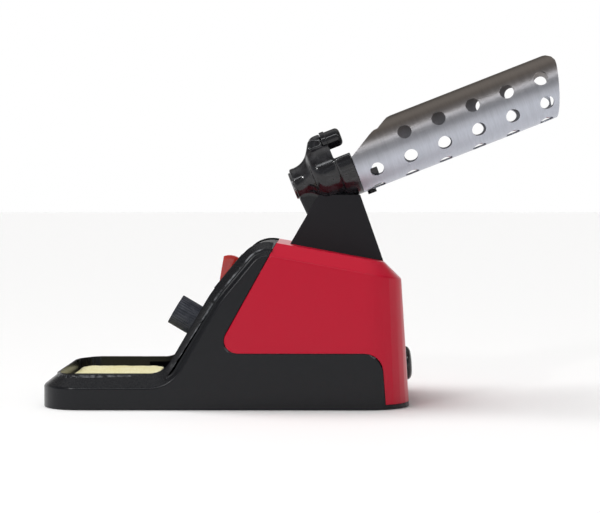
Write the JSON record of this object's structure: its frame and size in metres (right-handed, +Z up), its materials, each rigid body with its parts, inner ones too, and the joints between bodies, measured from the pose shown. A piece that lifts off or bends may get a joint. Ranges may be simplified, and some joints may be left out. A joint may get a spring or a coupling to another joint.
{
  "type": "soldering iron station",
  "caption": "Soldering iron station: wedge housing with sponge tray, sloping panel with knob and rocker, and a perforated iron guard on a pedestal.",
  "frame": {"origin": "centre of the overall box, on the surface that the rubber feet stand on", "axes": "+X towards the rear, where the guard points; +Y to the station's left seen from its front tray; +Z up"},
  "size_m": [0.337, 0.122, 0.229],
  "materials": {
    "housing_black": "satin moulded",
    "cover_red": "satin moulded",
    "panel_black": "fine texture",
    "plate_black": "matt",
    "rubber_black": "matt",
    "screw_steel": "zinc plated",
    "screw_black": "blackened",
    "sponge_yellow": "open-cell cellulose",
    "knob_slate": "ribbed",
    "mark_white": "printed",
    "dial_print": "anodised",
    "pot_shell": "tinned",
    "nickel": "nickel plated",
    "bezel_black": "gloss",
    "rocker_red": "translucent gloss",
    "brass": "bright",
    "pedestal_black": "matt",
    "head_black": "gloss",
    "guard_steel": "brushed across",
    "gland_black": "matt",
    "lamination": "varnished",
    "winding": "taped",
    "strap_steel": "zinc plated",
    "board_green": "solder mask",
    "parts_dark": "moulded",
    "sink_aluminium": "extruded",
    "fuse_glass": "clear"
  },
  "bodies": {
    "station": {"base_housing": "housing_black", "control_panel": "panel_black", "rear_cover": "cover_red", "bottom_plate": "plate_black", "rubber_feet": "rubber_black", "base_screws": "screw_steel", "panel_screws": "screw_steel", "dial_ring": "dial_print", "pot_body": "pot_shell", "pot_washer": "nickel", "pot_nut": "nickel", "switch_frame": "bezel_black", "rocker_pin": "nickel", "switch_terminals": "brass", "pedestal": "pedestal_black", "pedestal_screws": "screw_steel", "holder_head": "head_black", "head_screw": "screw_steel", "front_ring": "screw_black", "guard_tube": "guard_steel", "guard_screw": "screw_black", "power_gland": "gland_black", "gland_nut": "gland_black", "iron_socket": "nickel", "socket_insert": "bezel_black", "socket_pins": "brass", "socket_nut": "nickel", "transformer_core": "lamination", "transformer_coil": "winding", "transformer_frame": "strap_steel", "transformer_bolts": "screw_steel", "board_pillars": "brass", "control_board": "board_green", "board_screws": "screw_steel", "board_parts": "parts_dark", "heat_sink": "sink_aluminium", "fuse": "fuse_glass", "fuse_clips": "nickel"},
    "knob": {"temperature_knob": "knob_slate", "knob_pointer": "mark_white", "pot_shaft": "nickel"},
    "switch_rocker": {"rocker": "rocker_red"},
    "wiping_sponge": {"sponge": "sponge_yellow"},
    "tip_store_cap": {"barrel_cap": "head_black"}
  },
  "joints": [
    {"name": "knob_turn", "type": "hinge", "parent": "station", "child": "knob", "pos_m": [-0.07242, 0, 0.05185], "axis": [-0.8614, 0, 0.5079], "range_deg": [-150, 150]},
    {"name": "rocker_tilt", "type": "hinge", "parent": "station", "child": "switch_rocker", "pos_m": [-0.04973, 0, 0.08528], "axis": [0, 1, 0], "range_deg": [0, 28]},
    {"name": "sponge_lift", "type": "slide", "parent": "station", "child": "wiping_sponge", "axis": [0, 0, 1], "range_m": [0, 0.04]},
    {"name": "cap_pull", "type": "slide", "parent": "station", "child": "tip_store_cap", "axis": [0.9313, 0, 0.3642], "range_m": [0, 0.012]}
  ]
}
